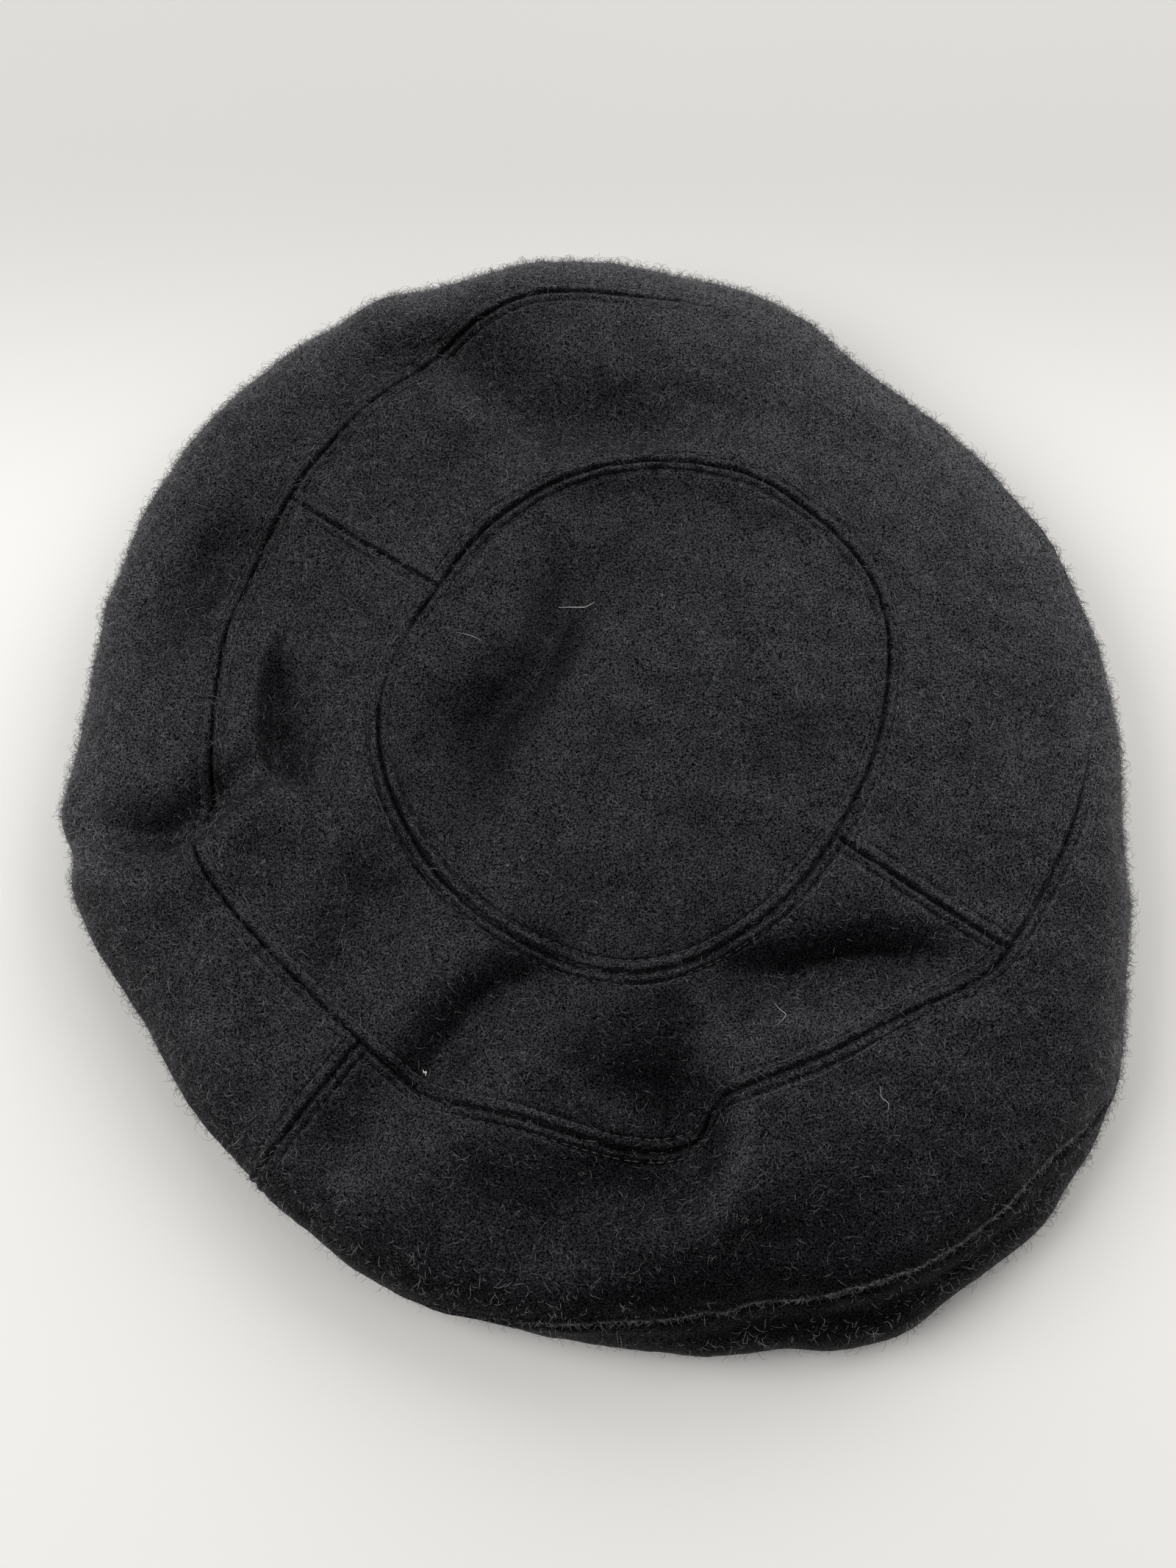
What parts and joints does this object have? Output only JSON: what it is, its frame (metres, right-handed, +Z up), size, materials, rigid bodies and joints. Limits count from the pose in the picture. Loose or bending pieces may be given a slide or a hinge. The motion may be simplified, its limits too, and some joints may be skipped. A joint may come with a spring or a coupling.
{
  "type": "beret",
  "caption": "Soft round wool beret lying crown up: round tip, ringed panels with topstitched seams, turned under to a headband with lining and sweatband.",
  "frame": {"origin": "middle of the outline on the surface that the beret rests on", "axes": "+Z up through the crown; +Y towards the back of the resting beret, +X to its right"},
  "size_m": [0.2888, 0.3058, 0.0435],
  "materials": {
    "wool": "matte black melton wool with short loose fibres",
    "lining": "black satin lining, softly glossy",
    "ribbon": "black ribbed ribbon, dull"
  },
  "bodies": {
    "root": {"tip_disc": "wool", "inner_ring_front": "wool", "inner_ring_back": "wool", "outer_ring_right": "wool", "outer_ring_left": "wool", "under_ring_back": "wool", "under_ring_front": "wool", "headband": "wool", "lining_tip": "lining", "lining_crown_front": "lining", "lining_crown_back": "lining", "lining_under_back": "lining", "lining_under_front": "lining", "sweatband": "ribbon"}
  },
  "joints": []
}
